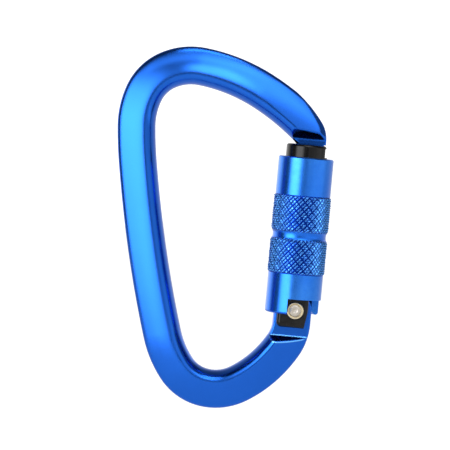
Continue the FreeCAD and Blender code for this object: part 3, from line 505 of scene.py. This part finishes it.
# %% The finishes
BLUE = (0.014, 0.138, 0.66)
DEEP_BLUE = (0.011, 0.108, 0.55)
WORN_BLUE = (0.06, 0.30, 0.80)
RECIPES = {
    "blue_anodised_frame": dict(colour=DEEP_BLUE, worn=WORN_BLUE, roughness=0.16, grain=0.03,
                                coat=0.1, wear=0.0, rounding=(0.8, 2.0)),
    "blue_anodised_sleeve": dict(colour=BLUE, worn=WORN_BLUE, roughness=0.25, grain=0.03,
                                 coat=0.1, lines=(0.12, 0.10)),
    "black_anodised_gate": dict(colour=(0.0012, 0.001, 0.0011), worn=(0.03, 0.03, 0.03),
                                roughness=0.1, grain=0.04, lines=(0.15, 0.06), metallic=0.0,
                                gloss=0.22),
    "rivet_steel": dict(colour=(0.66, 0.56, 0.36), worn=(0.80, 0.72, 0.55), roughness=0.28,
                        grain=0.04),
    "pin_steel": dict(colour=(0.55, 0.55, 0.54), worn=(0.7, 0.7, 0.7), roughness=0.2),
    "spring_steel": dict(colour=(0.34, 0.34, 0.35), worn=(0.5, 0.5, 0.5), roughness=0.3),
    "bush_plastic": dict(colour=(0.03, 0.03, 0.03), worn=(0.06, 0.06, 0.06), roughness=0.5,
                         metallic=0.0),
}
finishes = {name: metal(name, **recipe) for name, recipe in RECIPES.items()}
for entry in frame["record"]["subparts"]:
    piece = nodes[entry["node"]]
    piece.data.materials.clear()
    piece.data.materials.append(finishes[entry["material_slot"]])
print("finishes:", sorted(finishes))

# %% [markdown]
# The flats of the hinge's tang end at a sloping ledge. Its two edges are the sharpest on the bar,
# and each catches the light as a thin bright line. That highlight is painted into the colour as a
# pale line, which also stands for dye rubbed off those edges. The upper one is a line in space, and
# the lower one is where the ledge's plane meets the round bar, so both follow from the distance to
# that line and that plane.

# %% Painted highlights on the ledge's edges
LEDGE_START, LEDGE_SLOPE = 8.0, math.radians(36.5)    # mm below the hinge; down from square
FLAT_HALF = 2.4           # half thickness between the flats, mm
LEDGE_REACH = 10.0        # the plane runs on through the spine, so the lines stop at this, mm
# Colour of the pale lines: a painted highlight, partly also dye rubbed off the edges.
LEDGE_HIGHLIGHT_BLUE = (0.16, 0.48, 0.95)
# Each pair is where a line's mask is nothing and where it is full, in mm.
UPPER_WIDTH = (0.26, 0.1)       # from the upper edge
PLANE_EDGE = (0.01, 0.05)       # below the ledge's plane: the lower line begins
LOWER_WIDTH = (0.45, 0.12)      # below the plane: the lower line fades
OUTWARD = (0.3, 0.7)            # out from the flats, as the lower line is on the round bar only
SIDEWAYS = (LEDGE_REACH, LEDGE_REACH * 0.9)     # aside of the gate's axis
UPPER_STRENGTH = 0.8            # of the upper line, where the lower one has 1


def paint_ledge_highlight(material):
    """Paints a pale highlight line along both edges of the ledge, on the front and the back."""
    tree = material.node_tree
    shader = tree.nodes["Principled BSDF"]
    place = place_from_hinge(tree)
    parts = new_node(tree, "ShaderNodeSeparateXYZ")
    tree.links.new(place, parts.inputs[0])
    below = math_node(tree, "MULTIPLY_ADD", dot_node(tree, place, gate_axis), -1 / MM,
                      -LEDGE_START)
    beyond = math_node(tree, "MULTIPLY_ADD", math_node(tree, "ABSOLUTE", parts.outputs["Y"]),
                       1 / MM, -FLAT_HALF)
    from_edge = math_node(tree, "MAXIMUM", math_node(tree, "ABSOLUTE", below),
                          math_node(tree, "ABSOLUTE", beyond))
    from_plane = math_node(tree, "SUBTRACT",
                           math_node(tree, "MULTIPLY", below, math.cos(LEDGE_SLOPE)),
                           math_node(tree, "MULTIPLY", beyond, math.sin(LEDGE_SLOPE)))
    aside = math_node(tree, "DIVIDE", aside_of_gate(tree), MM)
    lower = math_node(tree, "MULTIPLY", step_node(tree, from_plane, *PLANE_EDGE),
                      step_node(tree, from_plane, *LOWER_WIDTH))
    lower = math_node(tree, "MULTIPLY", lower, step_node(tree, beyond, *OUTWARD))
    upper = math_node(tree, "MULTIPLY", step_node(tree, from_edge, *UPPER_WIDTH), UPPER_STRENGTH)
    mask = math_node(tree, "MAXIMUM", lower, upper)
    mask = math_node(tree, "MULTIPLY", mask, step_node(tree, aside, *SIDEWAYS))
    # The pale lines are painted highlight, mixed into the bar's colour.
    base = shader.inputs["Base Color"].links[0].from_socket
    tree.links.new(mix_node(tree, mask, base, LEDGE_HIGHLIGHT_BLUE), shader.inputs["Base Color"])


paint_ledge_highlight(finishes["blue_anodised_frame"])
print("ledge highlight painted:", LEDGE_START, "mm below the hinge")

# %% [markdown]
# On the knurling, the grooves are darkened with depth: painted shade, for the shade that falls
# down in them. The crests are paler, for dye rubbed off them and for a painted sparkle where they
# catch the light. The edge wear group reads the mesh's corners, and its result depends on how
# finely a mesh is cut. So this finish leaves it out, and asks instead how far each point lies from
# the gate's axis.

# %% Finish of the knurling, with painted shade in its grooves
# Painted shade: the grooves' colour is darkened for the shade that falls in them. The crests are paler for wear
# and a painted sparkle.
VALLEY_PAINTED_SHADE_BLUE = (0.008, 0.055, 0.33)
CREST_WEAR_AND_SPARKLE_BLUE = (0.065, 0.265, 0.70)
VALLEY_RADIUS = 8.2       # of the grooves' floors, mm
CREST_SHARE = 0.8         # share of the depth over which the colour goes from the painted groove shade to the pale crest


def knurl_finish_with_painted_shade():
    """The sleeve's blue: painted shade dark in the valleys, paler crests for wear and a painted sparkle, by
    distance from the axis.
    """
    material = metal("blue_knurl_painted_groove_shade", BLUE, WORN_BLUE, roughness=0.2, grain=0.03,
                     coat=0.1, wear=0.0)
    tree = material.node_tree
    shader = tree.nodes["Principled BSDF"]
    # A vector crossed with the axis is as long as its distance from the axis.
    off_axis = new_node(tree, "ShaderNodeVectorMath", {1: gate_axis}, operation="CROSS_PRODUCT")
    tree.links.new(place_from_hinge(tree), off_axis.inputs[0])
    distance = new_node(tree, "ShaderNodeVectorMath", operation="LENGTH")
    tree.links.new(off_axis.outputs["Vector"], distance.inputs[0])
    crest_colour_radius = VALLEY_RADIUS + (sleeve_radius - VALLEY_RADIUS) * CREST_SHARE
    # The colour goes from painted groove shade at the floors to the pale crest blue near the top.
    rise = step_node(tree, distance.outputs["Value"], VALLEY_RADIUS * MM, crest_colour_radius * MM)
    tree.links.new(mix_node(tree, rise, VALLEY_PAINTED_SHADE_BLUE, CREST_WEAR_AND_SPARKLE_BLUE), shader.inputs["Base Color"])
    return material


knurl_blue_painted_shade = knurl_finish_with_painted_shade()
print("knurl finish: dark to", VALLEY_RADIUS, "mm from the axis")

# %% [markdown]
# The knurling is two bands of crossed grooves, rolled into the sleeve by a pair of wheels, with a
# smooth neck between them. A texture would lie flat at the sleeve's edges, where the real one
# bites into the outline, so it's cut as real shape, with a radius worked out at each point. One
# wheel bit deeper than the other, so one hand's ridges run on unbroken, and every second groove
# came out deeper.

# %% Grooves of the knurling
GROOVES = 42              # grooves of each hand round the sleeve, an even number
LEAD = 1.37               # spacing of one hand's grooves along the axis, mm
RISING_DEPTHS = (1.0, 0.85)     # of every second groove, as shares of the full depth
FALLING_DEPTHS = (0.9, 0.65)
CREST_GAIN = 1.1          # above 1 leaves the ridges a narrow flat top
CREST_HEIGHTS = (0.6, 1.0)      # of the diamonds, as rolling never fills them all alike
# Heights are along the gate's axis and radii about it, all in mm.
BAND_LOW, BAND_HIGH = 10.9, 34.7
NECK_LOW, NECK_HIGH = 21.4, 23.7
NECK_OVERLAP = 0.4        # how far the grooves run in over the neck's edges
NECK_RADIUS = 8.07
NECK_HOLLOW = 0.16        # how much the neck's middle lies below its sides
END_FADE, NECK_FADE = 0.5, 1.2  # how far the grooves take to run out
FLOOR_FADE = 0.6          # how far the grooves' floors take to reach the neck


def smooth(value):
    """An S-curve from 0 to 1."""
    value = min(max(value, 0.0), 1.0)
    return value * value * (3 - 2 * value)


def beside_groove(position, depths):
    """Height of the metal along one hand's grooves, 1 half way between two of them."""
    from_groove = 2 * abs((position + 0.5) % 1.0 - 0.5)
    return 1 - depths[round(position) % 2] * (1 - from_groove)


crests = random.Random(42)
crest_heights = [[crests.uniform(*CREST_HEIGHTS) for falling in range(GROOVES)]
                 for rising in range(GROOVES)]


def knurled_radius(turn, height):
    """Radius in mm of the knurled ring at a fraction of a turn and a height in mm."""
    neck_middle = (NECK_LOW + NECK_HIGH) / 2
    if height < neck_middle:
        beside = NECK_LOW + NECK_OVERLAP - height
    else:
        beside = height - NECK_HIGH + NECK_OVERLAP
    from_end = min(height - BAND_LOW, BAND_HIGH - height)
    strength = smooth(from_end / END_FADE) * smooth(beside / NECK_FADE)
    from_middle = abs(height - neck_middle) / (NECK_HIGH - neck_middle)
    neck = NECK_RADIUS + NECK_HOLLOW * min(from_middle, 1.0) ** 2
    valley = neck + (VALLEY_RADIUS - neck) * smooth(beside / FLOOR_FADE)
    along = (height - BAND_LOW) / LEAD
    rising = beside_groove(turn * GROOVES - along, RISING_DEPTHS)
    falling = beside_groove(turn * GROOVES + along, FALLING_DEPTHS)
    top = crest_heights[math.floor(turn * GROOVES - along) % GROOVES][
        math.floor(turn * GROOVES + along) % GROOVES]
    crest = min(top, CREST_GAIN * rising, CREST_GAIN * falling)
    return valley + (sleeve_radius - valley) * strength * crest


print(f"neck {NECK_RADIUS} mm, grooves {VALLEY_RADIUS} mm, crests up to {sleeve_radius:.2f} mm")

# %% [markdown]
# The ring is a grid wrapped round the axis: rows of points up the bands, each at its own radius,
# and two plain rows inside that close it. A plain tube with a Displace modifier could take the
# grooves too, but the grid would have to be fitted to them first. Here that is done from the
# start: its steps divide the groove spacing evenly, which keeps every ridge crisp.

# %% Ring of the knurled bands
STEPS = 12                # grid steps for each groove spacing
INNER_RADIUS = 7.95       # mm


def closed_ring(name, radius_at, heights, columns, inner):
    """A closed ring on the gate's axis, from an outer radius for each point and an inner one."""
    rings = []
    points = []
    for height in heights:
        rings.append(len(points))
        for column in range(columns):
            angle = 2 * math.pi * column / columns
            radius = radius_at(column / columns, height)
            points.append((radius * math.cos(angle), radius * math.sin(angle), height))
    for height in (heights[-1], heights[0]):
        rings.append(len(points))
        points += [(inner * math.cos(2 * math.pi * column / columns),
                    inner * math.sin(2 * math.pi * column / columns), height)
                   for column in range(columns)]
    faces = []
    for row, low in enumerate(rings):
        high = rings[(row + 1) % len(rings)]
        for column in range(columns):
            after = (column + 1) % columns
            faces.append((low + column, low + after, high + after, high + column))
    mesh = bpy.data.meshes.new(name)
    mesh.from_pydata([GATE @ (Vector(point) * MM) for point in points], [], faces)
    mesh.update()
    piece = bpy.data.objects.new(name, mesh)
    bpy.context.collection.objects.link(piece)
    return piece


row_step = LEAD / STEPS
rows = int((BAND_HIGH - BAND_LOW) / row_step)
band_heights = [BAND_LOW + row_step * row for row in range(rows + 1)]
knurl = closed_ring("sleeve_knurl", knurled_radius, band_heights, GROOVES * STEPS, INNER_RADIUS)
knurl.data.materials.append(knurl_blue_painted_shade)
knurl.data.materials.append(finishes["blue_anodised_sleeve"])
for face in knurl.data.polygons:
    if NECK_LOW * MM < (FROM_GATE @ face.center).z < NECK_HIGH * MM:
        face.material_index = 1
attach(knurl, "sleeve")
print("knurl:", len(knurl.data.vertices), "points")

# %% [markdown]
# The rest of the sleeve is the solid's own shape, notch and bore included. A copy of its mesh has
# its bands drawn in under the knurled ring, and together they stand for the plain solid.

# %% Sleeve shell
BAND_INSET = 0.2          # the drawn-in bands end this far inside the ring's ends, mm
DRAWN_RADIUS = INNER_RADIUS + 0.03    # just inside the ring's own metal
OUTER_SKIN = INNER_RADIUS + 0.05      # a point further out than this is on a band
shell = bpy.data.objects.new("sleeve_shell", nodes["locking_sleeve"].data.copy())
bpy.context.collection.objects.link(shell)
for vertex in shell.data.vertices:
    point = FROM_GATE @ vertex.co
    radius = math.hypot(point.x, point.y)
    inside = (BAND_LOW + BAND_INSET) * MM < point.z < (BAND_HIGH - BAND_INSET) * MM
    if inside and radius > OUTER_SKIN * MM:
        point.xy *= DRAWN_RADIUS * MM / radius
        vertex.co = GATE @ point
shell.data.update()
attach(shell, "sleeve")
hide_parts("locking_sleeve")
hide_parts("locking_sleeve")
print("shell:", len(shell.data.vertices), "points")

# %% [markdown]
# The rivet's heads are rolled over with a punch: a raised ring, a dished floor, and a dimple where
# the punch's point stood. It's a lathe form, so its outline is written as (radius, height) and
# spun about the hinge.

# %% Hinge rivet
hinge = Vector(joints["gate_swing"]["pos_m"])
low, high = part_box("hinge_rivet")
rivet_reach = (high.y - low.y) / 2 / MM
RIVET_HEAD, RIVET_SHANK, HEAD_HEIGHT = 2.6, 1.5, 0.85     # two radii and a height, mm
# From the dimple outward, over the ring and down to the shank: radius, and height from the top.
head_outline = [(0.0, -0.62), (0.25, -0.60), (0.5, -0.5), (0.72, -0.36), (0.95, -0.30),
                (1.25, -0.34), (1.5, -0.44), (1.68, -0.46), (1.82, -0.36), (1.93, -0.16),
                (2.05, -0.03), (2.2, 0.0), (2.36, -0.04), (2.5, -0.15), (2.58, -0.3),
                (RIVET_HEAD, -0.45), (RIVET_HEAD, -HEAD_HEIGHT + 0.04), (2.56, -HEAD_HEIGHT),
                (RIVET_SHANK, -HEAD_HEIGHT)]
outline = [(radius, rivet_reach + drop) for radius, drop in head_outline]
outline += [(radius, -height) for radius, height in reversed(outline)]
SIDES = 96
mesh = bpy.data.meshes.new("rivet_rolled")
build = bmesh.new()
rings = []
for radius, height in outline:
    if radius == 0:
        rings.append([build.verts.new((0, height * MM, 0))])
        continue
    angles = [2 * math.pi * side / SIDES for side in range(SIDES)]
    rings.append([build.verts.new((radius * MM * math.cos(angle), height * MM,
                                   radius * MM * math.sin(angle))) for angle in angles])
for near, far in zip(rings, rings[1:]):
    for side in range(SIDES):
        after = (side + 1) % SIDES
        corners = [near[side % len(near)], near[after % len(near)], far[after % len(far)],
                   far[side % len(far)]]
        build.faces.new(list(dict.fromkeys(corners)))
bmesh.ops.recalc_face_normals(build, faces=build.faces)
bmesh.ops.translate(build, verts=build.verts, vec=hinge)
build.to_mesh(mesh)
build.free()
rivet = bpy.data.objects.new("rivet_rolled", mesh)
bpy.context.collection.objects.link(rivet)
mesh.materials.append(finishes["rivet_steel"])
PUNCHED_GREY, WORN_GREY = (0.48, 0.44, 0.38), (0.6, 0.58, 0.55)
mesh.materials.append(metal("rivet_floor", PUNCHED_GREY, WORN_GREY, roughness=0.36, grain=0.12))
FLOOR_RADIUS = 1.72       # inside it the punch left the steel grey, mm
for face in mesh.polygons:
    from_hinge = face.center - hinge
    if math.hypot(from_hinge.x, from_hinge.z) < FLOOR_RADIUS * MM:
        face.material_index = 1
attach(rivet, "gate")
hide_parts("hinge_rivet")
print(f"rivet: {rivet_reach * 2:.2f} mm over its heads")

# %% [markdown]
# Round forms are shaded smooth and true corners stay sharp. Each mesh gets the same rule: an edge
# is sharp where its two faces meet at more than 30 degrees.

# %% Smooth shading
SHARP = math.radians(30)
for piece in [*nodes.values(), shell, rivet]:
    mesh = piece.data
    mesh.shade_smooth()
    mesh.set_sharp_from_angle(angle=SHARP)
print("shaded", len(nodes) + 2, "meshes")
